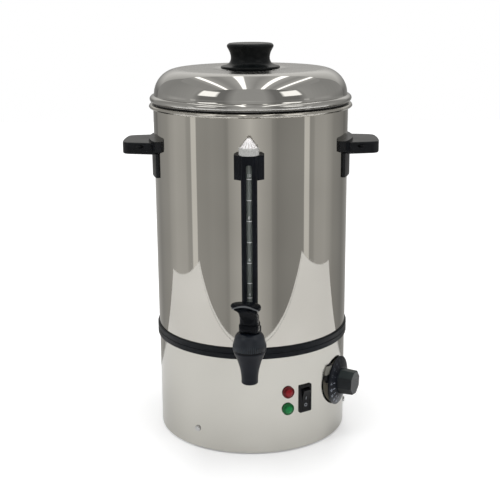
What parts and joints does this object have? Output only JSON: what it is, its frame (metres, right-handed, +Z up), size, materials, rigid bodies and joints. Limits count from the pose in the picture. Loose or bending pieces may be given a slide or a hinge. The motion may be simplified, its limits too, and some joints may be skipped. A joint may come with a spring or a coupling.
{
  "type": "hot water urn",
  "caption": "Countertop hot water urn: lidded steel tank on a heated base with dispensing tap, level gauge, side handles, power switch, pilot lamps and thermostat dial.",
  "frame": {"origin": "on the surface that the feet stand on, at the tank's axis", "axes": "+Z up along the tank's axis, -Y towards the tap, +X towards the thermostat's side"},
  "size_m": [0.317, 0.3242, 0.4886],
  "materials": {
    "tank_steel": "polished stainless steel",
    "skirt_steel": "satin stainless steel",
    "lid_steel": "polished stainless steel",
    "black_plastic": "satin black moulding",
    "black_gloss": "gloss black moulding",
    "grey_clear": "translucent grey moulding",
    "clear_plastic": "clear ribbed moulding",
    "glass": "clear glass",
    "rubber": "matt",
    "silicone": "translucent white silicone",
    "fastener_steel": "bright stainless steel",
    "zinc_steel": "zinc plated",
    "aluminium": "cast, bead blasted",
    "element_sheath": "heat tinted sheath",
    "copper": "drawn copper",
    "brass": "bright",
    "phenolic": "moulded phenolic",
    "red_lens": "translucent red",
    "green_lens": "translucent green",
    "red_plastic": "red moulding"
  },
  "bodies": {
    "urn": {"base_pan": "zinc_steel", "base_skirt": "skirt_steel", "boil_dry_switch": "phenolic", "dial_index": "black_gloss", "feet": "rubber", "gauge_base": "black_plastic", "gauge_bracket": "black_plastic", "gauge_nut": "fastener_steel", "gauge_rail": "black_plastic", "gauge_screw": "fastener_steel", "gauge_screw_seal": "silicone", "gauge_seal": "silicone", "gauge_tube": "glass", "handle_left": "black_plastic", "handle_right": "black_plastic", "handle_screws": "fastener_steel", "handle_seals": "silicone", "heater_plate": "aluminium", "heating_element": "element_sheath", "inlet_housing": "black_gloss", "inlet_pins": "brass", "inlet_screws": "fastener_steel", "lamp_bodies": "black_plastic", "lamp_clips": "zinc_steel", "lamp_green": "green_lens", "lamp_red": "red_lens", "limiter": "phenolic", "seam_ring": "black_plastic", "sensor_bulb": "copper", "shank_nut": "fastener_steel", "shank_washers": "silicone", "skirt_screws": "fastener_steel", "switch_housing": "black_gloss", "switch_tabs": "brass", "tank": "tank_steel", "tank_floor": "tank_steel", "tap_body": "black_plastic", "tap_bonnet": "black_plastic", "terminal_block": "phenolic", "terminal_screws": "brass", "thermostat_body": "phenolic", "thermostat_nut": "zinc_steel"},
    "lid": {"lid": "lid_steel", "lid_washer": "black_plastic", "lid_knob": "black_gloss", "lid_screw": "fastener_steel"},
    "gauge_cap": {"gauge_cap": "clear_plastic", "gauge_cap_collar": "grey_clear"},
    "tap_stem": {"tap_stem": "fastener_steel", "tap_cup": "silicone", "tap_spring": "fastener_steel"},
    "tap_lever": {"tap_lever": "black_gloss", "tap_pin": "fastener_steel"},
    "switch_rocker": {"switch_rocker": "black_gloss"},
    "thermostat_dial": {"dial_disc": "black_plastic", "dial_knob": "black_plastic", "thermostat_shaft": "zinc_steel"},
    "reset_button": {"reset_button": "red_plastic"}
  },
  "joints": [
    {"name": "lid_lift", "type": "slide", "parent": "urn", "child": "lid", "axis": [0, 0, 1], "range_m": [0, 0.08]},
    {"name": "gauge_cap_lift", "type": "slide", "parent": "urn", "child": "gauge_cap", "axis": [0, 0, 1], "range_m": [0, 0.02]},
    {"name": "tap_stem_lift", "type": "slide", "parent": "urn", "child": "tap_stem", "axis": [0, 0, 1], "range_m": [0, 0.003], "stiffness_N_per_m": 600, "springref_m": -0.008, "deforming": ["tap_spring"]},
    {"name": "tap_lever_tilt", "type": "hinge", "parent": "tap_stem", "child": "tap_lever", "pos_m": [0, -0.172, 0.1805], "axis": [0.9781, -0.2079, 0], "range_deg": [0, 30]},
    {"name": "switch_rock", "type": "hinge", "parent": "urn", "child": "switch_rocker", "pos_m": [0.06479, -0.09826, 0.0663], "axis": [-0.8348, -0.5505, 0], "range_deg": [0, 18]},
    {"name": "thermostat_turn", "type": "hinge", "parent": "urn", "child": "thermostat_dial", "pos_m": [0.10902, -0.05317, 0.071], "axis": [-0.8988, 0.4384, 0], "range_deg": [0, 270]},
    {"name": "reset_press", "type": "slide", "parent": "urn", "child": "reset_button", "axis": [0, 0, 1], "range_m": [0, 0.002], "stiffness_N_per_m": 400}
  ],
  "couplings": [
    {"joint": "tap_lever_tilt", "follows": "tap_stem_lift", "rad_per_m": 174.5}
  ]
}
